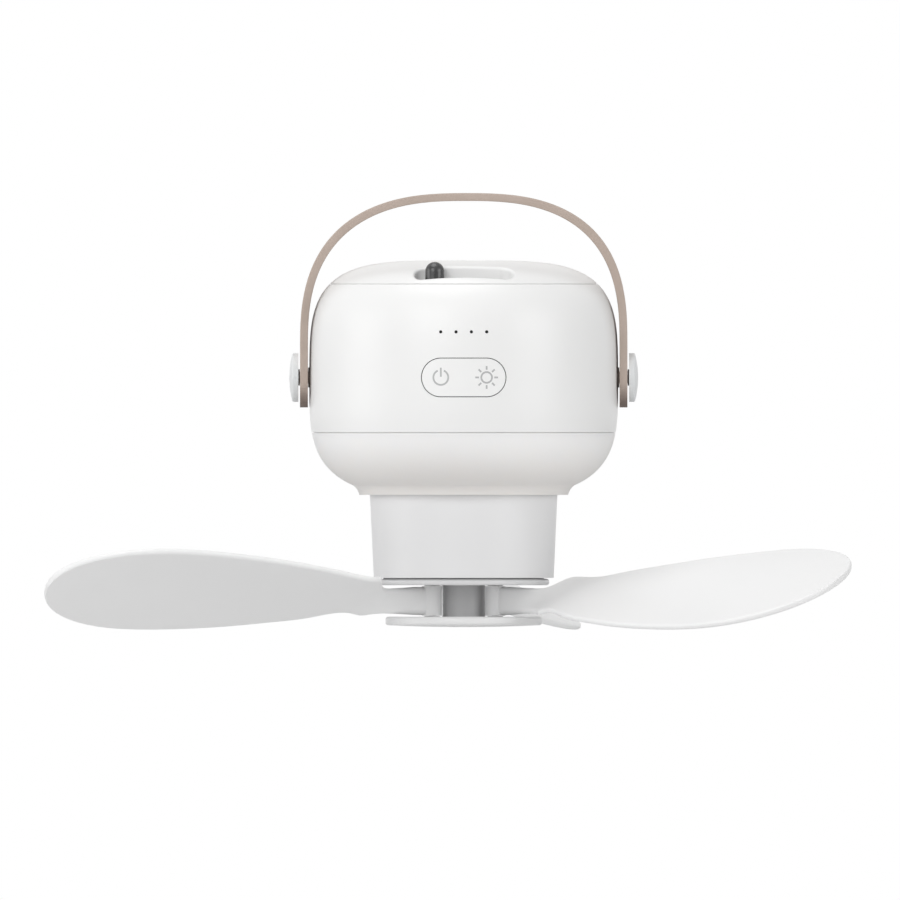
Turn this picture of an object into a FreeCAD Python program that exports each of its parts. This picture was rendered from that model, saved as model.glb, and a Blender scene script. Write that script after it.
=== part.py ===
import FreeCAD, Part
import math
import os

# Portable camping fan, hung by its strap handle with the blades underneath.
# Lengths are in millimetres, +Z is up, +X is to the right and -Y is the front with the button.
# The origin is the hang point: the middle of the strap's underside.

V = FreeCAD.Vector
UP = V(0, 0, 1)

# Clearances
running_fit = 0.05
loose_fit = 0.3
flat_gap = 0.1
overcut = 1.0

# Body heights, measured downwards from the hang point
hand_gap = 25.6
cover_height = 10.3
housing_height = 63.6
bowl_height = 26.9
neck_length = 35.7

# Body outline: one curve above its widest level and one below
body_radius = 66.4
crown_height = 53.5
crown_exponent = 4.0
keel_height = 48.4
keel_exponent = 3.4
body_wall = 2.4
housing_curve_steps = 12
collar_width = 4.6
collar_fillet = 2.6
collar_hollow_ratio = 0.3
tongue_height = 3.0
tongue_wall = 1.9
cover_seam_gap = 0.35
bowl_seam_gap = 0.2
seam_gap_depth = 0.9

# Neck
neck_top_radius = 40.3
neck_draft = 1.6
neck_wall = 2.0
neck_flange_width = 5.0
plate_thickness = 2.4

# Lever recess in the front shoulder of the cover
slot_length = 42.2
slot_width = 9.0
slot_inset = 18.3
slot_wall = 1.2
slot_floor_depth = 11.0
slot_floor = 1.6
slot_rim_fillet = 1.3
slot_bend_radius = 85.0
lever_radius = 4.1
lever_travel = 25.0
lever_top_below_cover = 0.6
stem_length = 5.0
stem_width = 3.0
stem_depth = 3.6
slide_unit_width = 8.6
slide_unit_height = 7.0
slide_unit_length = 38.0
slide_unit_setback = 0.7

# Front controls
pad_length = 36.0
pad_height = 16.3
pad_gap = 0.35
pad_drop = 50.3
pad_thickness = 2.4
rock_angle = 2.0
hinge_depth = 5.4
hinge_pin_radius = 0.8
hinge_barrel_radius = 1.7
hinge_barrel_length = 7.0
bracket_wall = 1.6
switch_spacing = 19.8
switch_size = 6.0
switch_body = 3.4
switch_plunger_radius = 1.75
switch_plunger_height = 0.9
indicator_drop = 30.7
indicator_pitch = 6.6
indicator_radius = 0.65
indicator_count = 4
board_thickness = 1.6
control_board_width = 46.0
control_board_height = 40.0
control_board_depth = 12.4
board_post_radius = 2.2

# Handle
strap_width = 22.0
strap_thickness = 3.4
strap_side_gap = 0.6
strap_arch_height = 65.4
strap_arch_exponent = 2.65
strap_foot_length = 12.9
strap_edge_fillet = 0.5
pivot_drop = 50.3
body_washer_radius = 4.3
body_washer_thickness = 0.65
knob_washer_radius = 3.5
knob_washer_thickness = 0.6
knob_radius = 10.5
knob_rim = 2.6
knob_dome = 1.3
knob_edge_fillet = 0.4
pivot_sleeve_radius = 2.6
pivot_screw_radius = 1.5
pivot_screw_length = 12.0
pivot_head_radius = 2.9
pivot_head_height = 1.6
pivot_boss_radius = 5.6
pivot_boss_length = 9.0

# Charging socket at the back
socket_width = 9.0
socket_height = 3.3
socket_depth = 7.6
socket_shell = 0.35
contact_tongue_ratio = 0.7
socket_above_plate = 9.0
power_board_width = 30.0
power_board_depth = 17.0

# Battery
cell_count = 4
cell_gap = 0.8
tray_wall = 1.6
tray_height = 13.0
tray_side_inset = 27.2
tray_corner_inset = 14.4

# Lamp
lamp_board_gap = 1.2
lamp_board_inset = 7.9
lamp_led_count = 18
lamp_led_size = 2.8
lamp_led_height = 0.8

# Screws
screw_radius = 1.2
screw_length = 8.0
screw_head_radius = 2.4
screw_head_height = 1.5
housing_boss_radius = 3.6
housing_boss_inset = 10.4
housing_boss_height = 24.0
housing_screw_count = 4
housing_screw_angle = 45.0
neck_screw_count = 3
neck_screw_angle = 30.0

# Motor in the neck
motor_shaft_radius = 2.5
bearing_radius = 6.5
bearing_height = 4.0
bearing_tube_wall = 1.5
bearing_tube_height = 21.0
stator_radius = 23.6
stator_height = 9.0
stator_teeth = 9
stator_root = 12.0
tooth_width = 3.2
pole_arc_gap = 2.4
pole_depth = 2.0
coil_thickness = 1.6
magnet_gap = 0.6
magnet_thickness = 2.6
magnet_count = 12
magnet_spacing = 3.0
can_wall = 1.4
can_height = 17.0
motor_end_gap = 1.0
end_boss_inset = 4.3
end_boss_radius = 3.4
end_boss_height = 9.0
end_screw_length = 7.0
end_screw_count = 3

# Blade hub
rotor_gap = 0.35
seal_depth = 1.8
seal_side_gap = 2.2
seal_width = 2.0
seal_gap = 0.6
upper_disc_setback = 1.9
upper_disc_thickness = 2.8
disc_spacing = 13.5
lower_disc_setback = 3.1
lower_disc_rim = 3.7
lower_disc_crown = 0.8
disc_edge_fillet = 1.3
core_radius = 9.2
hub_screw_ring = 5.9
pin_ring = 15.7
pin_radius = 1.5
pin_seat = 2.0
pivot_washer_radius = 3.3
pivot_washer_thickness = 0.3
knuckle_radius = 4.3

# Blades: stations are distances from the fan's axis, widths are measured across the pitched blade
blade_count = 3
first_blade_angle = 89.6
blade_rake_angle = -5.9
blade_thickness = 2.6
web_station = 19.5
web_half_height = 6.15
web_thickness = 5.0
flare_clearance = 3.2
flare_length = 10.0
neck_lead_width = 22.7
neck_trail_width = 12.4
widest_station = 142.5
lead_width = 41.5
trail_width = 39.5
blade_tip_radius = 196.6
blade_tip_offset = 4.0
lead_corner_exponent = 0.88
trail_corner_exponent = 1.0
upright_pitch_angle = 90.0
blade_pitch_angle = 21.0
blade_twist_angle = 4.5
pitch_station = 54.0
blade_camber = 2.4
blade_rise_ratio = 0.044

# Widths worked out from the sizes above
slot_forward = body_radius - slot_inset
strap_half_width = body_radius + strap_side_gap + strap_thickness
housing_boss_ring = body_radius - housing_boss_inset
neck_end_radius = neck_top_radius - neck_draft
collar_radius = neck_top_radius + collar_width
tray_half_width = body_radius - tray_side_inset
tray_half_length = math.sqrt((body_radius - tray_corner_inset) ** 2 - tray_half_width ** 2)
cell_radius = (tray_half_width - tray_wall - (cell_count - 1) * cell_gap / 2) / cell_count
cell_length = 2 * (tray_half_length - tray_wall - flat_gap)
lamp_board_inner = neck_top_radius + neck_flange_width + lamp_board_gap
lamp_board_outer = body_radius - lamp_board_inset
end_boss_ring = neck_end_radius - neck_wall - end_boss_inset
seal_radius = neck_end_radius - neck_wall - seal_side_gap
upper_disc_radius = neck_end_radius - upper_disc_setback
lower_disc_radius = upper_disc_radius - lower_disc_setback
flare_station = upper_disc_radius + flare_clearance
neck_station = flare_station + flare_length

# Heights worked out from the sizes above
z_top = -hand_gap
z_cover_seam = z_top - cover_height
z_bowl_seam = z_cover_seam - housing_height
z_collar = z_bowl_seam - bowl_height
z_neck_end = z_collar - neck_length
z_widest = z_top - crown_height
z_pivot = z_top - pivot_drop
z_pad = z_top - pad_drop
z_indicators = z_top - indicator_drop
z_slot_floor = z_top - slot_floor_depth
z_plate = z_bowl_seam + tongue_height
z_plate_top = z_plate + plate_thickness
z_end_plate = z_neck_end + seal_depth
z_upper_disc = z_neck_end - rotor_gap
z_disc_low = z_upper_disc - upper_disc_thickness
z_lower_disc = z_disc_low - disc_spacing
z_hub_middle = (z_disc_low + z_lower_disc) / 2


def write(name, *solids):
    """Save one node, made of one solid or of several separate ones."""
    shape = solids[0] if len(solids) == 1 else Part.makeCompound(list(solids))
    shape.exportStep("parts/" + name + ".step")


def cylinder(radius, start, direction, length):
    return Part.makeCylinder(radius, length, start, direction)


def disc(radius, z_low, z_high):
    return cylinder(radius, V(0, 0, z_low), UP, z_high - z_low)


def drill(radius, place_x, z_low, z_high):
    """An upright drill at a distance from the axis, longer at both ends than what it goes through."""
    return cylinder(radius, V(place_x, 0, z_low - overcut), UP, z_high - z_low + 2 * overcut)


def screw_drill(place_x, z_low, z_high):
    return drill(screw_radius + running_fit, place_x, z_low, z_high)


def ring(outer, inner, z_low, z_high):
    return disc(outer, z_low, z_high).cut(disc(inner, z_low, z_high))


def box(size_x, size_y, size_z, centre_x, centre_y, z_low):
    corner = V(centre_x - size_x / 2, centre_y - size_y / 2, z_low)
    return Part.makeBox(size_x, size_y, size_z, corner)


def joined(solids):
    """Fuse a list of solids that overlap or touch."""
    first, rest = solids[0], solids[1:]
    return first.fuse(rest).removeSplitter() if rest else first


def carved(solid, tools):
    """Cut a list of tools out of a solid, one after the other."""
    for tool in tools:
        solid = solid.cut(tool)
    return solid


def turned(shape, angle, centre=V(0, 0, 0), axis=UP):
    copy = shape.copy()
    copy.rotate(centre, axis, angle)
    return copy


def around(shape, count, first_angle=0.0):
    """Copies of a shape spaced evenly round the Z axis."""
    return [turned(shape, first_angle + 360.0 / count * index) for index in range(count)]


def mirrored_pair(shape):
    return [shape, shape.mirror(V(0, 0, 0), V(1, 0, 0))]


def spline(points):
    curve = Part.BSplineCurve()
    curve.interpolate(points)
    return curve.toShape()


def line(start, end):
    return Part.makeLine(start, end)


def arc(start, middle, end):
    return Part.Arc(start, middle, end).toShape()


def dome_arc(edge_radius, z_edge, z_apex):
    """Arc of a ball cap from its edge to its apex on the Z axis."""
    rise = z_apex - z_edge
    ball = (edge_radius ** 2 + rise ** 2) / (2 * rise)
    half_turn = math.asin(edge_radius / abs(ball)) / 2
    middle = V(abs(ball) * math.sin(half_turn), 0, z_apex - ball * (1 - math.cos(half_turn)))
    return arc(V(edge_radius, 0, z_edge), middle, V(0, 0, z_apex))


def polyline_edges(points):
    return [line(points[index], points[index + 1]) for index in range(len(points) - 1)]


def face_of(edges):
    return Part.Face(Part.Wire(Part.__sortEdges__(edges)))


def spun(edges):
    """Revolve a closed outline, drawn in the XZ plane, about the Z axis."""
    solid = face_of(edges).revolve(V(0, 0, 0), UP, 360)
    return solid if solid.Volume > 0 else solid.reversed()


def stadium(length, width, thickness):
    """A flat prism with round ends, lying along X, with its base at Z = 0."""
    half = (length - width) / 2
    bar = box(2 * half, width, thickness, 0, 0, 0)
    ends = [cylinder(width / 2, V(side * half, 0, 0), UP, thickness) for side in (-1, 1)]
    return joined([bar] + ends)


def standing_stadium(length, width, z, y_back, depth):
    """The same prism pointing to the front, starting at y_back."""
    prism = stadium(length, width, depth)
    prism.rotate(V(0, 0, 0), V(1, 0, 0), 90)
    prism.translate(V(0, y_back, z))
    return prism


def screw(head_centre, direction, length, radius, head_radius, head_height):
    """A plain screw whose head starts at head_centre and whose shank runs along direction."""
    shank = cylinder(radius, head_centre, direction, head_height + length)
    return shank.fuse(cylinder(head_radius, head_centre, direction, head_height))


def radius_at(z, inset=0.0):
    """Radius of the body's outline at a height, with the whole curve drawn in by inset."""
    height, exponent = crown_height, crown_exponent
    if z < z_widest:
        height, exponent = keel_height, keel_exponent
    share = min(abs(z - z_widest) / (height - inset), 1.0)
    return (body_radius - inset) * (1 - share ** exponent) ** (1 / exponent)


def crown_at(radius, inset=0.0):
    """Height of the crown curve at a radius."""
    share = radius / (body_radius - inset)
    return z_widest + (crown_height - inset) * (1 - share ** crown_exponent) ** (1 / crown_exponent)


def keel_at(radius, inset=0.0):
    """Height of the keel curve at a radius."""
    share = radius / (body_radius - inset)
    return z_widest - (keel_height - inset) * (1 - share ** keel_exponent) ** (1 / keel_exponent)


def side_curve(z_start, z_end, inset, steps=7):
    """The body's outline between two heights, as a smooth curve."""
    heights = [z_start + (z_end - z_start) * index / steps for index in range(steps + 1)]
    return spline([V(radius_at(z, inset), 0, z) for z in heights])


def crown_curve(radius, inset, steps=7):
    """The top of the body's outline from the axis out to a radius."""
    radii = [radius * index / steps for index in range(steps + 1)]
    return spline([V(r, 0, crown_at(r, inset)) for r in radii])


def front_surface_y(x, z, inset=0.0):
    """The front of the body at a place, as a negative Y."""
    return -math.sqrt(radius_at(z, inset) ** 2 - x ** 2)


def bend_centre():
    """Centre of the gentle arc that the recess and the lever follow."""
    return V(0, slot_bend_radius - slot_forward, 0)


def arc_angle(distance):
    """Angle, in degrees, that goes with a distance along that arc."""
    return math.degrees(distance / slot_bend_radius)


def bent_bar(length, width, z_low, z_high):
    """A flat prism with round ends that lies along the arc."""
    turn = arc_angle((length - width) / 2)
    height = z_high - z_low
    foot = bend_centre() + V(0, 0, z_low)
    bar = Part.makeCylinder(slot_bend_radius + width / 2, height, foot, UP, 2 * turn)
    bar = turned(bar.cut(cylinder(slot_bend_radius - width / 2, foot, UP, height)), -90 - turn, foot)
    end = cylinder(width / 2, V(0, -slot_forward, z_low), UP, height)
    return joined([bar, turned(end, turn, foot), turned(end, -turn, foot)])


def slot_prism(growth, z_low, z_high):
    return bent_bar(slot_length + 2 * growth, slot_width + 2 * growth, z_low, z_high)


def slot_distance(x, y):
    """How far a place is from the middle line of the recess, seen from above."""
    centre = bend_centre()
    reach = arc_angle((slot_length - slot_width) / 2)
    angle = math.degrees(math.atan2(x, centre.y - y))
    nearest = turned(Part.Vertex(V(0, -slot_forward, 0)), min(max(angle, -reach), reach), centre)
    return math.hypot(x - nearest.X, y - nearest.Y)


def stem_channel(z_low, z_high):
    """Room for the lever's stem over its whole travel."""
    length = lever_travel + stem_length + stem_width + 2 * loose_fit
    return bent_bar(length, stem_width + 2 * loose_fit, z_low, z_high)


def top_cover():
    """Shallow dome with a tongue under its rim and the walled recess for the lever."""
    seam_out = radius_at(z_cover_seam)
    seam_in = radius_at(z_cover_seam, body_wall)
    inner_top = crown_at(0, body_wall)
    z_lip = z_cover_seam + cover_seam_gap
    lip_out = radius_at(z_lip)
    groove_in = seam_out - seam_gap_depth
    outline = [crown_curve(lip_out, 0)]
    outline += polyline_edges([V(lip_out, 0, z_lip), V(groove_in, 0, z_lip), V(groove_in, 0, z_cover_seam),
                               V(seam_in, 0, z_cover_seam)])
    outline += [crown_curve(seam_in, body_wall), line(V(0, 0, inner_top), V(0, 0, z_top))]
    shell = spun(outline)
    tongue_outer = seam_in - loose_fit
    z_tongue_top = crown_at(tongue_outer - tongue_wall, body_wall) + body_wall / 2
    tongue = ring(tongue_outer, tongue_outer - tongue_wall, z_cover_seam - tongue_height, z_tongue_top)
    z_pocket = z_slot_floor - slot_floor
    mid_wall = body_wall / 2
    below = spun([
        crown_curve(seam_out, mid_wall),
        line(V(seam_out, 0, crown_at(seam_out, mid_wall)), V(seam_out, 0, z_pocket)),
        line(V(seam_out, 0, z_pocket), V(0, 0, z_pocket)),
        line(V(0, 0, z_pocket), V(0, 0, crown_at(0, mid_wall))),
    ])
    pocket = slot_prism(slot_wall, z_pocket, z_top).common(below)
    cover = joined([shell, tongue, pocket])
    cover = cover.cut(slot_prism(0, z_slot_floor, z_top + overcut))
    opening = stem_channel(z_pocket - slot_floor, z_slot_floor + slot_floor)
    unit_room = box(slide_unit_length + 2 * loose_fit, slide_unit_width + 2 * loose_fit, slide_unit_height,
                    0, slide_unit_y(), z_pocket - slide_unit_height)
    cover = carved(cover, [opening, unit_room])
    return cover.makeFillet(slot_rim_fillet, slot_rim_edges(cover))


def slot_rim_edges(cover):
    """The edges where the recess walls meet the outside of the dome."""
    rim = []
    for edge in cover.Edges:
        middle = edge.valueAt((edge.FirstParameter + edge.LastParameter) / 2)
        radius = math.hypot(middle.x, middle.y)
        near_slot = slot_distance(middle.x, middle.y) < slot_width / 2 + flat_gap
        if near_slot and abs(middle.z - crown_at(radius)) < flat_gap:
            rim.append(edge)
    return rim


def speed_lever():
    """Bullet-shaped post at the left end of its travel, with a stem that enters the slide unit."""
    z_base = z_slot_floor + loose_fit
    z_peak = z_top - lever_top_below_cover
    z_round = z_peak - lever_radius
    post = cylinder(lever_radius, V(0, -slot_forward, z_base), UP, z_round - z_base)
    ball = Part.makeSphere(lever_radius, V(0, -slot_forward, z_round))
    stem_top = z_base + lever_radius / 2
    stem_low = z_slot_floor - slot_floor - stem_depth
    stem = box(stem_length, stem_width, stem_top - stem_low, 0, -slot_forward, stem_low)
    return turned(joined([post, ball, stem]), -arc_angle(lever_travel / 2), bend_centre())


def slide_unit_y():
    return slide_unit_setback - slot_forward


def lever_slide_unit():
    """Slide control under the recess floor, with a groove for the lever's stem."""
    z_high = z_slot_floor - slot_floor
    z_low = z_high - slide_unit_height
    block = box(slide_unit_length, slide_unit_width, slide_unit_height, 0, slide_unit_y(), z_low)
    return block.cut(stem_channel(z_high - stem_depth - loose_fit, z_high + overcut))


def pad_outline(growth, y_back, depth):
    return standing_stadium(pad_length + 2 * growth, pad_height + 2 * growth, z_pad, y_back, depth)


def control_board_y():
    """Front face of the control board."""
    return -(body_radius - control_board_depth)


def main_housing():
    """Middle shell with the handle bosses and the openings for button, lamps and socket."""
    shell = spun([
        side_curve(z_cover_seam, z_bowl_seam, 0, housing_curve_steps),
        line(V(radius_at(z_bowl_seam), 0, z_bowl_seam),
             V(radius_at(z_bowl_seam, body_wall), 0, z_bowl_seam)),
        side_curve(z_bowl_seam, z_cover_seam, body_wall, housing_curve_steps),
        line(V(radius_at(z_cover_seam, body_wall), 0, z_cover_seam),
             V(radius_at(z_cover_seam), 0, z_cover_seam)),
    ])
    wall_middle = body_radius - body_wall / 2
    bosses = []
    for side in (-1, 1):
        start = V(side * (wall_middle - pivot_boss_length), 0, z_pivot)
        bosses.append(cylinder(pivot_boss_radius, start, V(side, 0, 0), pivot_boss_length))
    boss = cylinder(housing_boss_radius, V(housing_boss_ring, 0, z_plate_top), UP, housing_boss_height)
    rib_length = wall_middle - housing_boss_ring
    rib = box(rib_length, housing_boss_radius, housing_boss_height, housing_boss_ring + rib_length / 2, 0,
              z_plate_top)
    bosses += around(boss.fuse(rib), housing_screw_count, housing_screw_angle)
    bosses += control_board_posts()
    housing = joined([shell] + bosses)
    return carved(housing, housing_cuts())


def control_board_posts():
    """Four posts on the inside of the front wall that the control board rests on."""
    posts = []
    for x in control_board_post_places():
        for z in control_board_post_heights():
            y_wall = front_surface_y(x, z, body_wall / 2)
            length = control_board_y() - y_wall
            posts.append(cylinder(board_post_radius, V(x, y_wall, z), V(0, 1, 0), length))
    return posts


def control_board_post_places():
    reach = control_board_width / 2 - board_post_radius
    return (-reach, reach)


def control_board_middle():
    return (z_pad + z_indicators) / 2


def control_board_post_heights():
    reach = control_board_height / 2 - board_post_radius
    return (control_board_middle() - reach, control_board_middle() + reach)


def housing_cuts():
    """Everything that is taken out of the housing shell."""
    cuts = [pad_outline(pad_gap, -body_radius / 2, body_radius)]
    for x in indicator_places():
        cuts.append(cylinder(indicator_radius + running_fit, V(x, -body_radius - overcut, z_indicators),
                             V(0, 1, 0), body_radius / 2))
    port = standing_stadium(socket_width + 2 * loose_fit, socket_height + 2 * loose_fit,
                            socket_z(), body_radius + overcut, body_radius / 2)
    cuts.append(port)
    z_pocket = z_slot_floor - slot_floor
    cuts.append(slot_prism(slot_wall + loose_fit, z_pocket - loose_fit, z_cover_seam + overcut))
    for side in (-1, 1):
        outside = V(side * (body_radius + overcut), 0, z_pivot)
        depth = body_radius + overcut - body_washer_seat()
        cuts.append(cylinder(body_washer_radius + flat_gap, outside, V(-side, 0, 0), depth))
        hole = V(side * (body_radius - 2 * pivot_boss_length), 0, z_pivot)
        cuts.append(cylinder(pivot_screw_radius + running_fit, hole, V(side, 0, 0), 3 * pivot_boss_length))
    hole = cylinder(screw_radius + running_fit, V(housing_boss_ring, 0, z_plate), UP,
                    plate_thickness + screw_length + overcut)
    return cuts + around(hole, housing_screw_count, housing_screw_angle)


def indicator_places():
    first = -indicator_pitch * (indicator_count - 1) / 2
    return [first + indicator_pitch * index for index in range(indicator_count)]


def indicator_lenses():
    """Dark light pipes from the control board to the outside of the housing."""
    y_chip = control_board_y() - lamp_led_height - flat_gap
    lenses = []
    for x in indicator_places():
        y_face = front_surface_y(x, z_indicators)
        lenses.append(cylinder(indicator_radius, V(x, y_face, z_indicators), V(0, 1, 0), y_chip - y_face))
    return lenses


def indicator_leds():
    y = control_board_y() - lamp_led_height / 2
    size = 2 * indicator_radius
    return [box(size, lamp_led_height, size, x, y, z_indicators - size / 2) for x in indicator_places()]


def control_board():
    """Upright board behind the front controls."""
    y = control_board_y() + board_thickness / 2
    board = box(control_board_width, board_thickness, control_board_height, 0, y,
                control_board_middle() - control_board_height / 2)
    return board


def switch_face_y():
    return control_board_y() - switch_body - switch_plunger_height


def tact_switches():
    switches = []
    for side in (-1, 1):
        x = side * switch_spacing / 2
        y = control_board_y() - switch_body / 2
        body = box(switch_size, switch_body, switch_size, x, y, z_pad - switch_size / 2)
        plunger = cylinder(switch_plunger_radius, V(x, control_board_y() - switch_body, z_pad),
                           V(0, -1, 0), switch_plunger_height)
        switches.append(body.fuse(plunger))
    return switches


def hinge_y():
    return -body_radius + hinge_depth


def button_pad():
    """Rocking pill-shaped pad, flush with the housing, with its hinge barrel and two pushers."""
    outer = spun([
        side_curve(z_pad + pad_height, z_pad - pad_height, 0),
        line(V(radius_at(z_pad - pad_height), 0, z_pad - pad_height), V(0, 0, z_pad - pad_height)),
        line(V(0, 0, z_pad - pad_height), V(0, 0, z_pad + pad_height)),
        line(V(0, 0, z_pad + pad_height), V(radius_at(z_pad + pad_height), 0, z_pad + pad_height)),
    ])
    inner = disc(body_radius - pad_thickness, z_pad - pad_height, z_pad + pad_height)
    pad = pad_outline(0, -body_radius / 2, body_radius).common(outer).cut(inner)
    z_low = z_pad - hinge_barrel_length / 2
    barrel = cylinder(hinge_barrel_radius, V(0, hinge_y(), z_low), UP, hinge_barrel_length)
    web_front = -body_radius + pad_thickness / 2
    web = box(hinge_barrel_radius, hinge_y() - web_front, hinge_barrel_length,
              0, (hinge_y() + web_front) / 2, z_low)
    pieces = [pad, barrel, web]
    travel = switch_spacing / 2 * math.tan(math.radians(rock_angle))
    for side in (-1, 1):
        x = side * switch_spacing / 2
        start = front_surface_y(x, z_pad) + pad_thickness / 2
        end = switch_face_y() - travel - flat_gap
        pieces.append(cylinder(switch_plunger_radius, V(x, start, z_pad), V(0, 1, 0), end - start))
    bore = cylinder(hinge_pin_radius + running_fit, V(0, hinge_y(), z_low - overcut), UP,
                    hinge_barrel_length + 2 * overcut)
    return joined(pieces).cut(bore)


def bracket_ears():
    """Heights at which the two ears of the button bracket start."""
    gap = hinge_barrel_length / 2 + flat_gap
    return (z_pad + gap, z_pad - gap - bracket_wall)


def button_bracket():
    """Small bracket on the control board whose two ears hold the hinge pin of the button."""
    y_board = control_board_y()
    ear_width = 2 * hinge_barrel_radius
    ears = []
    for z in bracket_ears():
        depth = y_board - hinge_y()
        ear = box(ear_width, depth, bracket_wall, 0, (y_board + hinge_y()) / 2, z)
        nose = cylinder(hinge_barrel_radius, V(0, hinge_y(), z), UP, bracket_wall)
        ears += [ear, nose]
    high, low = bracket_ears()
    foot = box(ear_width, bracket_wall, high - low + bracket_wall, 0, y_board - bracket_wall / 2, low)
    bore = cylinder(hinge_pin_radius + running_fit, V(0, hinge_y(), low - overcut), UP,
                    high - low + bracket_wall + 2 * overcut)
    return joined([foot] + ears).cut(bore)


def button_hinge_pin():
    high, low = bracket_ears()
    return cylinder(hinge_pin_radius, V(0, hinge_y(), low), UP, high - low + bracket_wall)


def light_bowl():
    """Lower shell that spreads the lamp's light, with a tongue above and a collar below."""
    shoulder_radius = collar_radius + collar_fillet
    z_shoulder = keel_at(shoulder_radius)
    inner_radius = collar_radius - body_wall
    z_inner = keel_at(inner_radius, body_wall)
    opening = neck_top_radius + loose_fit
    tongue_outer = radius_at(z_bowl_seam, body_wall) - loose_fit
    tongue_inner = tongue_outer - tongue_wall
    seam_out = radius_at(z_bowl_seam)
    z_tongue = z_bowl_seam + tongue_height
    z_ledge = z_bowl_seam - body_wall
    collar_middle = V(collar_radius + collar_hollow_ratio * collar_fillet, 0, (z_shoulder + z_collar) / 2)
    z_lip = z_bowl_seam - bowl_seam_gap
    groove_in = seam_out - seam_gap_depth
    outline = [
        side_curve(z_lip, z_shoulder, 0),
        arc(V(shoulder_radius, 0, z_shoulder), collar_middle, V(collar_radius, 0, z_collar)),
    ]
    outline += polyline_edges([
        V(collar_radius, 0, z_collar),
        V(opening, 0, z_collar),
        V(opening, 0, z_collar + body_wall),
        V(inner_radius, 0, z_collar + body_wall),
        V(inner_radius, 0, z_inner),
    ])
    outline.append(side_curve(z_inner, z_ledge, body_wall))
    outline += polyline_edges([
        V(radius_at(z_ledge, body_wall), 0, z_ledge),
        V(tongue_inner, 0, z_ledge),
        V(tongue_inner, 0, z_tongue),
        V(tongue_outer, 0, z_tongue),
        V(tongue_outer, 0, z_bowl_seam),
        V(groove_in, 0, z_bowl_seam),
        V(groove_in, 0, z_lip),
        V(radius_at(z_lip), 0, z_lip),
    ])
    return spun(outline)


def neck_sleeve():
    """Tapered tube that holds the motor, with a flange under the chassis plate."""
    z_high = z_plate
    flange_radius = neck_top_radius + neck_flange_width
    z_flange = z_high - plate_thickness
    z_seat = z_end_plate + plate_thickness
    inner = neck_end_radius - neck_wall
    outline = polyline_edges([
        V(flange_radius, 0, z_high),
        V(flange_radius, 0, z_flange),
        V(neck_top_radius, 0, z_flange),
        V(neck_top_radius, 0, z_collar),
        V(neck_end_radius, 0, z_neck_end),
        V(inner, 0, z_neck_end),
        V(inner, 0, z_seat),
        V(inner - neck_wall, 0, z_seat),
        V(inner - neck_wall, 0, z_seat + neck_wall),
        V(inner, 0, z_seat + 2 * neck_wall),
        V(inner, 0, z_high),
        V(flange_radius, 0, z_high),
    ])
    boss = cylinder(end_boss_radius, V(end_boss_ring, 0, z_seat), UP, end_boss_height)
    tube = joined([spun(outline)] + around(boss, end_screw_count))
    hole = screw_drill(neck_screw_ring(), z_flange, z_high)
    pilot = screw_drill(end_boss_ring, z_seat, z_end_plate + end_screw_length + screw_head_height)
    return carved(tube, around(hole, neck_screw_count, neck_screw_angle) + around(pilot, end_screw_count))


def neck_screw_ring():
    return neck_top_radius + neck_flange_width / 2


def chassis_plate():
    """Plate across the body that carries the battery, the lamp board and the neck."""
    rim = radius_at(z_plate, body_wall) - loose_fit
    plate = disc(rim, z_plate, z_plate_top)
    stands = []
    for x in (-1, 1):
        for y in (-1, 1):
            place_x = x * (power_board_width / 2 - board_post_radius)
            place_y = power_board_y() + y * (power_board_depth / 2 - board_post_radius)
            height = power_board_z() - z_plate_top
            stands.append(cylinder(board_post_radius, V(place_x, place_y, z_plate_top), UP, height))
    plate = joined([plate] + stands)
    hole = screw_drill(housing_boss_ring, z_plate, z_plate_top)
    holes = around(hole, housing_screw_count, housing_screw_angle)
    hole = screw_drill(neck_screw_ring(), z_plate, z_plate_top)
    holes += around(hole, neck_screw_count, neck_screw_angle)
    holes.append(disc(stator_root, z_plate - overcut, z_plate_top + overcut))
    return carved(plate, holes)


def housing_screws():
    """Screws that go up through the chassis plate into the housing's bosses."""
    head = V(housing_boss_ring, 0, z_plate - screw_head_height)
    one = screw(head, UP, plate_thickness + screw_length, screw_radius, screw_head_radius, screw_head_height)
    return around(one, housing_screw_count, housing_screw_angle)


def neck_screws():
    """Screws that go down through the chassis plate into the neck's flange."""
    head = V(neck_screw_ring(), 0, z_plate_top + screw_head_height)
    one = screw(head, V(0, 0, -1), 2 * plate_thickness, screw_radius, screw_head_radius, screw_head_height)
    return around(one, neck_screw_count, neck_screw_angle)


def lamp_board():
    """Ring-shaped board under the chassis plate, notched round the housing screws."""
    z_low = z_plate - board_thickness
    board = ring(lamp_board_outer, lamp_board_inner, z_low, z_plate)
    notch = cylinder(screw_head_radius + loose_fit, V(housing_boss_ring, 0, z_low), UP, board_thickness)
    return carved(board, around(notch, housing_screw_count, housing_screw_angle))


def lamp_leds():
    middle = (lamp_board_inner + lamp_board_outer) / 2
    chip = box(lamp_led_size, lamp_led_size, lamp_led_height, middle, 0,
               z_plate - board_thickness - lamp_led_height)
    return around(chip, lamp_led_count)


def cell_places():
    pitch = 2 * cell_radius + cell_gap
    first = -pitch * (cell_count - 1) / 2
    return [first + pitch * index for index in range(cell_count)]


def cell_z():
    return z_plate_top + tray_wall + cell_radius


def battery_cells():
    return [cylinder(cell_radius, V(-cell_length / 2, y, cell_z()), V(1, 0, 0), cell_length)
            for y in cell_places()]


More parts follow.
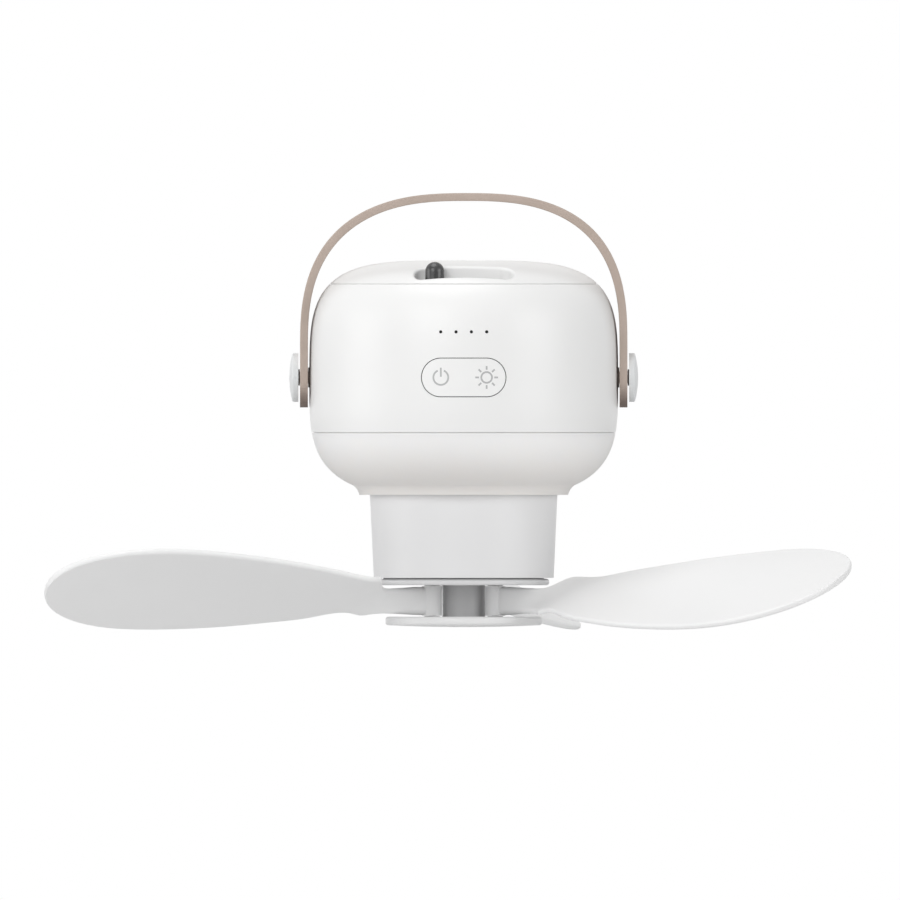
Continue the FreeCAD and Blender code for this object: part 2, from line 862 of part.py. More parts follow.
def battery_tray():
    """Open tray with a round-bottomed cradle for each cell."""
    tray = box(2 * tray_half_length, 2 * tray_half_width, tray_height, 0, 0, z_plate_top)
    inside = cell_length + 2 * flat_gap
    for y in cell_places():
        tray = tray.cut(cylinder(cell_radius + flat_gap, V(-inside / 2, y, cell_z()), V(1, 0, 0), inside))
    over = box(inside, 2 * (tray_half_width - tray_wall), tray_height, 0, 0, cell_z())
    relief = cylinder(screw_head_radius + loose_fit, V(neck_screw_ring(), 0, z_plate_top), UP, tray_height)
    return carved(tray, [over] + around(relief, neck_screw_count, neck_screw_angle))


def socket_z():
    return z_plate_top + socket_above_plate


def power_board_z():
    return socket_z() - socket_height / 2 - board_thickness


def power_board_y():
    reach = radius_at(socket_z(), body_wall) - body_wall
    return reach - power_board_depth / 2 - body_wall


def power_board():
    return box(power_board_width, power_board_depth, board_thickness, 0, power_board_y(), power_board_z())


def usb_socket():
    """Metal sleeve with a contact tongue, in the port at the back."""
    y_mouth = radius_at(socket_z()) - body_wall / 2
    sleeve = standing_stadium(socket_width, socket_height, socket_z(), y_mouth, socket_depth)
    bore = standing_stadium(socket_width - 2 * socket_shell, socket_height - 2 * socket_shell,
                            socket_z(), y_mouth + overcut, socket_depth - socket_shell)
    tongue_height = socket_height / 4
    tongue_length = contact_tongue_ratio * socket_depth
    tongue = box(contact_tongue_ratio * socket_width, tongue_length, tongue_height, 0,
                 y_mouth - socket_depth + tongue_length / 2, socket_z() - tongue_height / 2)
    return joined([sleeve.cut(bore), tongue])


def body_washer_seat():
    """Distance from the axis of the flat that the inner washer lies on."""
    return strap_inner_face() - flat_gap - body_washer_thickness


def strap_inner_face():
    return strap_half_width - strap_thickness


def arch_curve(half_width, height, steps=8):
    """Arch of the strap over the body, from its left springing to its right one."""
    z_spring = strap_thickness - strap_arch_height
    points = []
    for index in range(2 * steps + 1):
        angle = math.pi * index / (2 * steps)
        power = 2 / strap_arch_exponent
        x = -math.copysign(abs(math.cos(angle)) ** power, math.cos(angle)) * half_width
        z = z_spring + height * abs(math.sin(angle)) ** power
        points.append(V(x, 0, z))
    curve = Part.BSplineCurve()
    curve.interpolate(Points=points, InitialTangent=UP, FinalTangent=V(0, 0, -1))
    return curve.toShape()


def handle_strap():
    """One bent strip: an arch over the body, two straight legs and round feet."""
    z_spring = strap_thickness - strap_arch_height
    z_foot = z_pivot - strap_foot_length
    inner = strap_inner_face()
    outline = [
        arch_curve(strap_half_width, strap_arch_height),
        arch_curve(inner, strap_arch_height - strap_thickness),
    ]
    for side in (-1, 1):
        outline.append(line(V(side * strap_half_width, 0, z_spring), V(side * strap_half_width, 0, z_foot)))
        outline.append(line(V(side * strap_half_width, 0, z_foot), V(side * inner, 0, z_foot)))
        outline.append(line(V(side * inner, 0, z_foot), V(side * inner, 0, z_spring)))
    strap = face_of(outline).extrude(V(0, strap_width, 0))
    strap.translate(V(0, -strap_width / 2, 0))
    strap = strap.makeFillet(strap_edge_fillet, strap_long_edges(strap))
    bore = cylinder(pivot_sleeve_radius + running_fit, V(-2 * strap_half_width, 0, z_pivot),
                    V(1, 0, 0), 4 * strap_half_width)
    return carved(strap, [bore] + foot_corners(z_foot))


def strap_long_edges(strap):
    """The edges that run the whole way along the strap, on its front and back sides."""
    edges = []
    for edge in strap.Edges:
        side = abs(abs(edge.CenterOfMass.y) - strap_width / 2) < flat_gap
        if side and edge.Length > 2 * strap_thickness:
            edges.append(edge)
    return edges


def foot_corners(z_foot):
    """What is cut away to round the two feet."""
    radius = strap_width / 2
    block = box(3 * strap_half_width, 2 * strap_width, 2 * radius, 0, 0, z_foot - radius)
    round_bar = cylinder(radius, V(-2 * strap_half_width, 0, z_foot + radius), V(1, 0, 0),
                         4 * strap_half_width)
    return [block.cut(round_bar)]


def side_disc(radius, start, thickness):
    """A disc at the right-hand pivot, from a distance outwards, with its mirror image."""
    return mirrored_pair(cylinder(radius, V(start, 0, z_pivot), V(1, 0, 0), thickness))


def with_bore(discs, radius):
    bore = cylinder(radius, V(-2 * strap_half_width, 0, z_pivot), V(1, 0, 0), 4 * strap_half_width)
    return [one.cut(bore) for one in discs]


def body_washers():
    return with_bore(side_disc(body_washer_radius, body_washer_seat(), body_washer_thickness),
                     pivot_sleeve_radius + running_fit)


def knob_washer_start():
    return strap_half_width + flat_gap


def knob_washers():
    return with_bore(side_disc(knob_washer_radius, knob_washer_start(), knob_washer_thickness),
                     pivot_sleeve_radius + running_fit)


def knob_start():
    return knob_washer_start() + knob_washer_thickness


def pivot_sleeves():
    """Spacer tubes that the strap turns on."""
    start = body_washer_seat()
    return with_bore(side_disc(pivot_sleeve_radius, start, knob_start() - start),
                     pivot_screw_radius + running_fit)


def handle_knobs():
    """Round caps with a flat rim and a slightly domed face, hollow round the screw head."""
    start = knob_start()
    edge = knob_radius - knob_edge_fillet
    dome = dome_arc(edge, knob_rim, knob_rim + knob_dome)
    outline = polyline_edges([V(0, 0, knob_rim + knob_dome), V(0, 0, 0), V(knob_radius, 0, 0),
                              V(knob_radius, 0, knob_rim - knob_edge_fillet), V(edge, 0, knob_rim)])
    knob = spun(outline + [dome])
    knob.rotate(V(0, 0, 0), V(0, 1, 0), 90)
    knob.translate(V(start, 0, z_pivot))
    recess = cylinder(pivot_head_radius + flat_gap, V(start, 0, z_pivot), V(1, 0, 0),
                      pivot_head_height + flat_gap)
    return mirrored_pair(knob.cut(recess))


def pivot_screws():
    """Screws through the sleeves into the housing's side bosses."""
    head = V(knob_start() + pivot_head_height, 0, z_pivot)
    length = knob_start() - body_washer_seat() + pivot_screw_length
    return mirrored_pair(screw(head, V(-1, 0, 0), length, pivot_screw_radius, pivot_head_radius,
                               pivot_head_height))


def z_tube_top():
    return z_end_plate + plate_thickness + bearing_tube_height


def neck_end_plate():
    """Round plate that closes the neck, with the tube for the two bearings."""
    radius = neck_end_radius - neck_wall - flat_gap
    plate = disc(radius, z_end_plate, z_end_plate + plate_thickness)
    tube = disc(bearing_radius + bearing_tube_wall, z_end_plate, z_tube_top())
    body = joined([plate, tube])
    shoulder = bearing_radius - bearing_tube_wall
    body = body.cut(disc(shoulder, z_end_plate - overcut, z_tube_top() + overcut))
    for z in bearing_starts():
        body = body.cut(disc(bearing_radius, z, z + bearing_height))
    hole = screw_drill(end_boss_ring, z_end_plate, z_end_plate + plate_thickness)
    sink = cylinder(screw_head_radius + flat_gap, V(end_boss_ring, 0, z_end_plate - overcut), UP,
                    overcut + screw_head_height)
    return carved(body, around(hole, end_screw_count) + around(sink, end_screw_count))


def end_plate_screws():
    """Sunk screws that hold the end plate to the bosses inside the neck."""
    one = screw(V(end_boss_ring, 0, z_end_plate), UP, end_screw_length, screw_radius, screw_head_radius,
                screw_head_height)
    return around(one, end_screw_count)


def bearing_starts():
    return (z_end_plate, z_tube_top() - bearing_height)


def motor_bearings():
    outer = bearing_radius - running_fit
    return [ring(outer, motor_shaft_radius + running_fit, z, z + bearing_height) for z in bearing_starts()]


def stator_low():
    return z_tube_top() - stator_height - motor_end_gap


def stator_core():
    """Laminated core with wound teeth that end in wide pole shoes."""
    z_low = stator_low()
    z_high = z_low + stator_height
    tube = bearing_radius + bearing_tube_wall + running_fit
    hub = ring(stator_root, tube, z_low, z_high)
    half_depth = stator_radius - stator_root / 2
    tooth = box(half_depth, tooth_width, stator_height, stator_root / 2 + half_depth / 2, 0, z_low)
    spokes = joined(around(tooth, stator_teeth))
    rim = ring(stator_radius, stator_radius - pole_depth, z_low, z_high)
    gap = box(4 * pole_depth, pole_arc_gap, 2 * stator_height, stator_radius, 0, z_low - overcut)
    rim = carved(rim, around(gap, stator_teeth, 180.0 / stator_teeth))
    inside = disc(stator_radius, z_low, z_high).cut(disc(tube, z_low - overcut, z_high + overcut))
    return joined([hub, spokes, rim]).common(inside)


def stator_windings():
    """One square-cornered coil round each tooth."""
    z_low = stator_low()
    grow = 2 * coil_thickness
    start = stator_root + coil_thickness / 2
    reach = stator_radius - pole_depth - flat_gap
    length = math.sqrt(reach ** 2 - ((tooth_width + grow) / 2) ** 2) - start
    middle = start + length / 2
    outer = box(length, tooth_width + grow, stator_height + grow, middle, 0, z_low - coil_thickness)
    inner = box(length + overcut, tooth_width + flat_gap, stator_height + flat_gap, middle, 0,
                z_low - flat_gap / 2)
    return around(outer.cut(inner), stator_teeth)


def can_inner_radius():
    return stator_radius + magnet_gap + magnet_thickness + running_fit


def can_top():
    return z_tube_top() + coil_thickness + can_wall + motor_end_gap


def rotor_can():
    """Steel cup over the stator, fixed to the shaft."""
    inner = can_inner_radius()
    high = can_top()
    cup = disc(inner + can_wall, high - can_height, high)
    cup = cup.cut(disc(inner, high - can_height - overcut, high - can_wall))
    hub = disc(2 * motor_shaft_radius, high - can_wall, high + can_wall)
    bore = disc(motor_shaft_radius + running_fit, high - can_height, high + 2 * can_wall)
    return joined([cup, hub]).cut(bore)


def rotor_magnets():
    """Curved magnets inside the can."""
    outer = can_inner_radius() - running_fit
    high = can_top() - can_wall - flat_gap
    low = can_top() - can_height
    sleeve = ring(outer, outer - magnet_thickness, low, high)
    gap = box(4 * magnet_thickness, magnet_spacing, 2 * can_height, outer, 0, low - overcut)
    return carved(sleeve, around(gap, magnet_count)).Solids


def motor_shaft():
    z_low = z_lower_disc - pin_seat
    return disc(motor_shaft_radius, z_low, can_top() + can_wall)


def upper_hub_disc():
    """Upper disc of the blade hub: rounded rim, a seal ring inside the neck and blind seats for the pins."""
    plate = disc(upper_disc_radius, z_disc_low, z_upper_disc)
    rims = [edge for edge in plate.Edges if edge.BoundBox.XLength > upper_disc_radius]
    plate = plate.makeFillet(disc_edge_fillet, rims)
    plate = plate.fuse(ring(seal_radius, seal_radius - seal_width, z_upper_disc, z_end_plate - seal_gap))
    plate = plate.cut(disc(motor_shaft_radius + running_fit, z_disc_low - overcut, z_upper_disc + overcut))
    seat = cylinder(pin_radius + running_fit, V(pin_ring, 0, z_disc_low - overcut), UP, overcut + pin_seat)
    return carved(plate, around(seat, blade_count, first_blade_angle))


def lower_hub_disc():
    """Lower disc with a shallow domed underside, screw recesses and blind seats for the pins."""
    rim = lower_disc_radius
    fillet = disc_edge_fillet
    z_rim = z_lower_disc - lower_disc_rim
    z_bottom = z_rim - lower_disc_crown
    bend = fillet * (1 - math.sqrt(0.5))
    flat = rim - fillet
    outline = [
        line(V(0, 0, z_bottom), V(0, 0, z_lower_disc)),
        line(V(0, 0, z_lower_disc), V(flat, 0, z_lower_disc)),
        arc(V(flat, 0, z_lower_disc), V(rim - bend, 0, z_lower_disc - bend),
            V(rim, 0, z_lower_disc - fillet)),
        line(V(rim, 0, z_lower_disc - fillet), V(rim, 0, z_rim + fillet)),
        arc(V(rim, 0, z_rim + fillet), V(rim - bend, 0, z_rim + bend), V(flat, 0, z_rim)),
        dome_arc(flat, z_rim, z_bottom),
    ]
    plate = spun(outline)
    seat = cylinder(pin_radius + running_fit, V(pin_ring, 0, z_lower_disc - pin_seat), UP, pin_seat + overcut)
    cuts = around(seat, blade_count, first_blade_angle)
    cuts.append(disc(motor_shaft_radius + running_fit, z_lower_disc - pin_seat, z_lower_disc + overcut))
    hole = screw_drill(hub_screw_ring, z_bottom, z_lower_disc)
    head = cylinder(screw_head_radius + flat_gap, V(hub_screw_ring, 0, z_bottom - overcut), UP,
                    overcut + lower_disc_crown + screw_head_height)
    return carved(plate, cuts + around(hole, blade_count) + around(head, blade_count))


def hub_core():
    """Grey spacer between the discs that the hub screws pull on."""
    core = disc(core_radius, z_lower_disc, z_disc_low)
    core = core.cut(disc(motor_shaft_radius + running_fit, z_lower_disc - overcut, z_disc_low + overcut))
    hole = screw_drill(hub_screw_ring, z_lower_disc, z_lower_disc + screw_length)
    return carved(core, around(hole, blade_count))


def hub_screws():
    z_head = z_lower_disc - lower_disc_rim
    one = screw(V(hub_screw_ring, 0, z_head), UP, screw_length, screw_radius, screw_head_radius,
                screw_head_height)
    return around(one, blade_count)


def blade_pins():
    length = disc_spacing + 2 * (pin_seat - flat_gap)
    pin = cylinder(pin_radius, V(pin_ring, 0, z_lower_disc - pin_seat + flat_gap), UP, length)
    return around(pin, blade_count, first_blade_angle)


def pivot_washers():
    """Thin washers above and below each blade knuckle."""
    washers = []
    for z in (z_lower_disc, z_disc_low - pivot_washer_thickness):
        plate = cylinder(pivot_washer_radius, V(pin_ring, 0, z), UP, pivot_washer_thickness)
        bore = drill(pin_radius + running_fit, pin_ring, z, z + pivot_washer_thickness)
        washers += around(plate.cut(bore), blade_count, first_blade_angle)
    return washers


def eased(share):
    """A smooth step from 0 to 1."""
    share = min(max(share, 0.0), 1.0)
    return share * share * (3 - 2 * share)


def blade_pitch_at(station):
    """Pitch of the blade: upright at the web, then easing to its working pitch and twist."""
    turn = eased((station - web_station) / (pitch_station - web_station))
    twist = blade_twist_angle * max(0.0, station - pitch_station) / (blade_tip_radius - pitch_station)
    return upright_pitch_angle + (blade_pitch_angle - upright_pitch_angle) * turn + twist


def blade_section(station, lead, trail, thickness):
    """Cross-section of the blade, square to its length: two shallow arcs and two round rims."""
    angle = math.radians(blade_pitch_at(station))
    centre = V(station, 0, z_hub_middle + blade_rise_ratio * max(0.0, station - flare_station))
    across = V(0, math.cos(angle), math.sin(angle))
    normal = V(0, -math.sin(angle), math.cos(angle))
    half = thickness / 2
    middle = (lead - trail) / 2
    camber = blade_camber * ((lead + trail) / (lead_width + trail_width)) ** 2

    def at(width, height):
        return centre + across * width + normal * height

    top = arc(at(lead - half, half), at(middle, half + camber), at(half - trail, half))
    tail = arc(at(half - trail, half), at(-trail, 0), at(half - trail, -half))
    bottom = arc(at(half - trail, -half), at(middle, camber - half), at(lead - half, -half))
    nose = arc(at(lead - half, -half), at(lead, 0), at(lead - half, half))
    return Part.Wire([top, tail, bottom, nose])


def root_rows(count=8):
    """Sections from the web to the blade's neck: station, lead, trail and thickness.

    As far as the flare station the twisting web stays as tall as the gap between the discs allows."""
    rows = []
    for index in range(count):
        share = index / count
        station = web_station + (neck_station - web_station) * share
        thickness = web_thickness + (blade_thickness - web_thickness) * share
        angle = math.radians(blade_pitch_at(station))
        fill = (web_half_height - thickness / 2 * math.cos(angle)) / math.sin(angle)
        flare = eased((station - flare_station) / (neck_station - flare_station))
        lead = fill + (neck_lead_width - fill) * flare
        trail = fill + (neck_trail_width - fill) * flare
        rows.append((station, lead, trail, thickness))
    return rows


def paddle_rows(count=6):
    """Sections from the neck to the widest station, along two gently curved edges."""
    rows = []
    for index in range(count):
        share = index / count
        spread = share * (2 - share)
        station = neck_station + (widest_station - neck_station) * share
        lead = neck_lead_width + (lead_width - neck_lead_width) * spread
        trail = neck_trail_width + (trail_width - neck_trail_width) * spread
        rows.append((station, lead, trail, blade_thickness))
    return rows


def tip_rows(count=9, last_angle=87.0):
    """Sections of the rounded tip, drawn in along two quarter ovals."""
    rows = []
    for index in range(count):
        turn = math.radians(last_angle * index / (count - 1))
        station = widest_station + (blade_tip_radius - widest_station) * math.sin(turn)
        lead = blade_tip_offset + (lead_width - blade_tip_offset) * math.cos(turn) ** lead_corner_exponent
        trail = (trail_width + blade_tip_offset) * math.cos(turn) ** trail_corner_exponent - blade_tip_offset
        rows.append((station, lead, trail, blade_thickness))
    return rows


def blade():
    """One blade pointing along +X from the fan's axis: paddle, twisted web and pin knuckle."""
    rows = root_rows() + paddle_rows() + tip_rows()
    paddle = Part.makeLoft([blade_section(*row) for row in rows], True, False)
    height = disc_spacing - 2 * (pivot_washer_thickness + flat_gap)
    z_low = z_hub_middle - height / 2
    knuckle = cylinder(knuckle_radius, V(pin_ring, 0, z_low), UP, height)
    reach = web_station - pin_ring
    arm = box(reach, web_thickness, 2 * web_half_height, pin_ring + reach / 2, 0,
              z_hub_middle - web_half_height)
    body = joined([paddle, arm, knuckle])
    return body.cut(drill(pin_radius + running_fit, pin_ring, z_low, z_low + height))


def blades():
    """The three blades, each turned on its own pin by the rake."""
    one = turned(blade(), blade_rake_angle, V(pin_ring, 0, 0))
    return around(one, blade_count, first_blade_angle)


def build_housing():
    write("top_cover", top_cover())
    write("main_housing", main_housing())
    write("light_bowl", light_bowl())
    write("neck_sleeve", neck_sleeve())
    write("chassis_plate", chassis_plate())
    write("housing_screws", *housing_screws())
    write("neck_screws", *neck_screws())
    write("lamp_board", lamp_board())
    write("lamp_leds", *lamp_leds())
    write("battery_tray", battery_tray())
    write("battery_cells", *battery_cells())
    write("power_board", power_board())
    write("usb_socket", usb_socket())


def build_controls():
    write("button_pad", button_pad())
    write("button_bracket", button_bracket())
    write("button_hinge_pin", button_hinge_pin())
    write("control_board", control_board())
    write("tact_switches", *tact_switches())
    write("indicator_leds", *indicator_leds())
    write("indicator_lenses", *indicator_lenses())
    write("speed_lever", speed_lever())
    write("lever_slide_unit", lever_slide_unit())


def build_handle():
    write("handle_strap", handle_strap())
    write("body_washers", *body_washers())
    write("knob_washers", *knob_washers())
    write("pivot_sleeves", *pivot_sleeves())
    write("handle_knobs", *handle_knobs())
    write("pivot_screws", *pivot_screws())


def build_motor():
    write("neck_end_plate", neck_end_plate())
    write("end_plate_screws", *end_plate_screws())
    write("motor_bearings", *motor_bearings())
    write("stator_core", stator_core())
    write("stator_windings", *stator_windings())
    write("rotor_can", rotor_can())
    write("rotor_magnets", *rotor_magnets())
    write("motor_shaft", motor_shaft())


def build_rotor():
    write("upper_hub_disc", upper_hub_disc())
    write("hub_core", hub_core())
    write("lower_hub_disc", lower_hub_disc())
    write("hub_screws", *hub_screws())
    write("blade_pins", *blade_pins())
    write("pivot_washers", *pivot_washers())
    for name, shape in zip(("blade_rear", "blade_left", "blade_right"), blades()):
        write(name, shape)


os.makedirs("parts", exist_ok=True)
build_housing()
build_controls()
build_handle()
build_motor()
build_rotor()
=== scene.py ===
import math

import bmesh
import bpy
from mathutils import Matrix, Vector
from mathutils.bvhtree import BVHTree

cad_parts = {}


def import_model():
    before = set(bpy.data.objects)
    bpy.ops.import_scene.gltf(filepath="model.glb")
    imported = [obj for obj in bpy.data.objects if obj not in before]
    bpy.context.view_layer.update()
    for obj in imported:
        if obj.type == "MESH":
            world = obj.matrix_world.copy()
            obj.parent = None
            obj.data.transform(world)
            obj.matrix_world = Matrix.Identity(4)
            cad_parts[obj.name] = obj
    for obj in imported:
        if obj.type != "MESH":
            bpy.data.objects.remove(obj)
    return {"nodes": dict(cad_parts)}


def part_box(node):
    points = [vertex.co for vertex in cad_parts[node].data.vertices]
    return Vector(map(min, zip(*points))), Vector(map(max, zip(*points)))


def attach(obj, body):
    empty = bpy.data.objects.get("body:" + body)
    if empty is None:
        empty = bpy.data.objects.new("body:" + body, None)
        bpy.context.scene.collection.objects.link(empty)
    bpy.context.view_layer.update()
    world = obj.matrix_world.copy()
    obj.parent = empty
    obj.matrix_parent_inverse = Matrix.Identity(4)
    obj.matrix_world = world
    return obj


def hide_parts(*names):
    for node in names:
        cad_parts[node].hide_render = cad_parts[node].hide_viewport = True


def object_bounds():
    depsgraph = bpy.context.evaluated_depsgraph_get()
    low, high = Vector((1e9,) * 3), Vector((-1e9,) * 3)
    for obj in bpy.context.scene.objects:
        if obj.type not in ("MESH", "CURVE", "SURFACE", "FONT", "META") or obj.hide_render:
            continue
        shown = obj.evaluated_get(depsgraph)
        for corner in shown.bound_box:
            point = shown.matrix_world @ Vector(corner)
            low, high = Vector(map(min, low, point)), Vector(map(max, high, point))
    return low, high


# Portable camping fan seen level from the front, with +Z up and -Y towards the viewer.
# Lengths are in metres, apart from those whose heading gives millimetres.
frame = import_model()
cad_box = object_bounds()

MM = 0.001

# Photograph's frame: how wide it is on the object and where its middle lies
PHOTO_WIDTH = 0.387
PHOTO_MIDDLE = Vector((-0.0059, 0.0, -0.1071))
CAMERA_DISTANCE = 2.0

# Stage: the floor, each lamp's name, place, width and power, and the strength of the even light
FLOOR_DROP = 0.14
FLOOR_RADIUS = 4.0
FLOOR_SIDES = 96
LAMPS = (
    ("key_front", (-0.8, -1.7, 0.6), 1.2, 12.0),
    ("side_left", (-1.7, -0.3, 0.1), 1.0, 7.4),
    ("fill_right", (1.5, -1.0, 0.3), 1.0, 9.8),
    ("top_soft", (-0.2, -0.2, 1.5), 1.2, 12.2),
)
EVEN_LIGHT = 0.23
BACKDROP_LIGHT = 1.0

# Strap in millimetres: how far its top leans to the right, the height at which its legs end and its
# arch begins, and the length of its ends that are darkened with painted shade
STRAP_LEAN = 1.4
STRAP_SPRING = -62.0
STRAP_FOOT_SHADE_LENGTH = 12.0
# Painted shade: the tone the strap's ends are multiplied by, for the shade that falls on them
STRAP_FOOT_PAINTED_SHADE = (0.36, 0.33, 0.32)

# Strap mesh: how near two corners are joined, and the angle in degrees from which an edge is sharp
WELD = 1e-6
SHARP_ANGLE = 32.0

# Bowl: its painted shade at the foot, and the shares of its height between which that painted shade fades
# out
BOWL_PAINTED_SHADE = (0.83, 0.815, 0.80)
BOWL_SHADE_FULL_BELOW = 0.15
BOWL_SHADE_GONE_ABOVE = 0.85

# Surfaces: a pattern's usual low and high values, features per metre, and how far the gloss varies
PATTERN_LOW = 0.3
PATTERN_HIGH = 0.7
MOTTLE_SCALE = 14.0
DRAWN_LINE_SCALE = 900.0
DRAWN_LINE_DEPTH = 0.000004
PLASTIC_GLOSS_SPREAD = 0.05
METAL_GLOSS_SPREAD = 0.08

# Colour sockets of a mix node, which share their names with its number and vector sockets
MIX_FACTOR = 0
MIX_FIRST = 6
MIX_SECOND = 7
MIX_RESULT = 2

# Button marks in millimetres, each round its own centre, and the power mark's gap in degrees
MARK_LINE = 0.75
MARK_LIFT = 0.02
MARK_DEPTH = 0.08
POWER_RADIUS = 3.2
POWER_GAP = 24.0
POWER_BAR = (0.3, 4.2)
SUN_RADIUS = 2.3
SUN_RAYS = 8
SUN_RAY = (3.3, 4.9)
MARK_SPACING = 19.7

# Plane in front of the whole fan, from which its front surface is looked for
IN_FRONT = -1.0


def set_input(node, name, value):
    node.inputs[name].default_value = value


def link(owner, source, target):
    """Join two sockets in the node tree of a material or a world."""
    owner.node_tree.links.new(source, target)


def add(name, data):
    """A new object in the scene."""
    piece = bpy.data.objects.new(name, data)
    bpy.context.scene.collection.objects.link(piece)
    return piece


def new_material(name):
    """An empty node material with its output and one Principled shader."""
    material = bpy.data.materials.new(name)
    material.use_nodes = True
    nodes = material.node_tree.nodes
    nodes.clear()
    output = nodes.new("ShaderNodeOutputMaterial")
    shader = nodes.new("ShaderNodeBsdfPrincipled")
    link(material, shader.outputs["BSDF"], output.inputs["Surface"])
    return material, shader


def noise(material, scale, detail=3.0, stretch=(1.0, 1.0, 1.0)):
    """A noise pattern fixed to the object, with so many features per metre."""
    nodes = material.node_tree.nodes
    place = nodes.new("ShaderNodeTexCoord")
    mapping = nodes.new("ShaderNodeMapping")
    set_input(mapping, "Scale", stretch)
    pattern = nodes.new("ShaderNodeTexNoise")
    set_input(pattern, "Scale", scale)
    set_input(pattern, "Detail", detail)
    link(material, place.outputs["Object"], mapping.inputs["Vector"])
    link(material, mapping.outputs["Vector"], pattern.inputs["Vector"])
    return pattern.outputs["Fac"]


def ramp(material, source, low, high, start=PATTERN_LOW, end=PATTERN_HIGH):
    """A colour that goes from low to high as the source goes from start to end."""
    node = material.node_tree.nodes.new("ShaderNodeValToRGB")
    node.color_ramp.elements[0].position = start
    node.color_ramp.elements[0].color = (*low, 1.0)
    node.color_ramp.elements[1].position = end
    node.color_ramp.elements[1].color = (*high, 1.0)
    link(material, source, node.inputs["Fac"])
    return node.outputs["Color"]


def spread(material, source, low, high):
    """A number that goes from low to high with the source."""
    node = material.node_tree.nodes.new("ShaderNodeMapRange")
    set_input(node, "From Min", PATTERN_LOW)
    set_input(node, "From Max", PATTERN_HIGH)
    set_input(node, "To Min", low)
    set_input(node, "To Max", high)
    link(material, source, node.inputs["Value"])
    return node.outputs["Result"]


def bump(material, shader, source, depth):
    """Fine relief on the surface, as deep as given."""
    node = material.node_tree.nodes.new("ShaderNodeBump")
    set_input(node, "Strength", 1.0)
    set_input(node, "Distance", depth)
    link(material, source, node.inputs["Height"])
    link(material, node.outputs["Normal"], shader.inputs["Normal"])


def height_share(material, low, high):
    """How far up between two heights a place is, from 0 to 1, smoothly eased."""
    nodes = material.node_tree.nodes
    place = nodes.new("ShaderNodeTexCoord")
    parts = nodes.new("ShaderNodeSeparateXYZ")
    share = nodes.new("ShaderNodeMapRange")
    share.interpolation_type = "SMOOTHSTEP"
    set_input(share, "From Min", low)
    set_input(share, "From Max", high)
    link(material, place.outputs["Object"], parts.inputs["Vector"])
    link(material, parts.outputs["Z"], share.inputs["Value"])
    return share.outputs["Result"]


def tint(material, shader, tone, share):
    """Multiply the shader's colour by a tone where the share is 0, and by nothing where it is 1."""
    colour = shader.inputs["Base Color"].links[0].from_socket
    factor = ramp(material, share, tone, (1.0, 1.0, 1.0), start=0.0, end=1.0)
    mix = material.node_tree.nodes.new("ShaderNodeMix")
    mix.data_type = "RGBA"
    mix.blend_type = "MULTIPLY"
    mix.inputs[MIX_FACTOR].default_value = 1.0
    link(material, colour, mix.inputs[MIX_FIRST])
    link(material, factor, mix.inputs[MIX_SECOND])
    link(material, mix.outputs[MIX_RESULT], shader.inputs["Base Color"])


def shaded(colour, factor):
    """A darker shade of a colour."""
    return tuple(channel * factor for channel in colour)


def plastic(name, colour, roughness, mottle=0.03, grain=1500.0, grain_depth=0.00001):
    """Moulded plastic: a faint mottle in the colour, a fine moulded grain and uneven gloss."""
    material, shader = new_material(name)
    broad = noise(material, MOTTLE_SCALE, detail=2.0)
    fine = noise(material, grain, detail=4.0)
    colour_out = ramp(material, broad, shaded(colour, 1.0 - mottle), colour)
    rough_out = spread(material, fine, roughness - PLASTIC_GLOSS_SPREAD, roughness + PLASTIC_GLOSS_SPREAD)
    link(material, colour_out, shader.inputs["Base Color"])
    link(material, rough_out, shader.inputs["Roughness"])
    bump(material, shader, fine, grain_depth)
    set_input(shader, "Specular IOR Level", 0.4)
    return material


def metal(name, colour, roughness, stretch=(1.0, 1.0, 12.0)):
    """Turned metal: fine drawn lines in the colour and the gloss."""
    material, shader = new_material(name)
    lines = noise(material, DRAWN_LINE_SCALE, detail=5.0, stretch=stretch)
    colour_out = ramp(material, lines, shaded(colour, 0.85), colour)
    rough_out = spread(material, lines, roughness - METAL_GLOSS_SPREAD, roughness + METAL_GLOSS_SPREAD)
    link(material, colour_out, shader.inputs["Base Color"])
    link(material, rough_out, shader.inputs["Roughness"])
    bump(material, shader, lines, DRAWN_LINE_DEPTH)
    set_input(shader, "Metallic", 1.0)
    return material


def strap_material():
    """Taupe strap with a fine grain all over, slightly worn, paler high spots, and painted shade
    darkening its ends.
    """
    material, shader = new_material("strap_taupe")
    broad = noise(material, scale=60.0)
    grain = noise(material, scale=2600.0)
    colour_out = ramp(material, broad, low=(0.46, 0.378, 0.325), high=(0.50, 0.413, 0.36))
    link(material, colour_out, shader.inputs["Base Color"])
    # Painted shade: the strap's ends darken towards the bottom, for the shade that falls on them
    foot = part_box("handle_strap")[0][2]
    tint(material, shader, STRAP_FOOT_PAINTED_SHADE, height_share(material, foot, foot + STRAP_FOOT_SHADE_LENGTH * MM))
    link(material, spread(material, grain, low=0.55, high=0.72), shader.inputs["Roughness"])
    bump(material, shader, grain, depth=0.00004)
    set_input(shader, "Specular IOR Level", 0.35)
    return material


def bowl_material():
    """Pearl lamp bowl: light soaks a little way in, under a satin surface, with painted shade towards its
    foot.
    """
    material = plastic("bowl_pearl", (0.95, 0.94, 0.93), roughness=0.38, mottle=0.015, grain=1800.0,
                       grain_depth=0.000006)
    shader = material.node_tree.nodes["Principled BSDF"]
    # Painted shade: the bowl darkens towards its foot, which faces down, away from the lamps
    low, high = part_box("light_bowl")
    height = high[2] - low[2]
    share = height_share(material, low[2] + BOWL_SHADE_FULL_BELOW * height, low[2] + BOWL_SHADE_GONE_ABOVE * height)
    tint(material, shader, BOWL_PAINTED_SHADE, share)
    set_input(shader, "Subsurface Weight", 0.25)
    set_input(shader, "Subsurface Radius", (0.004, 0.0035, 0.003))
    set_input(shader, "Subsurface Scale", 1.0)
    return material


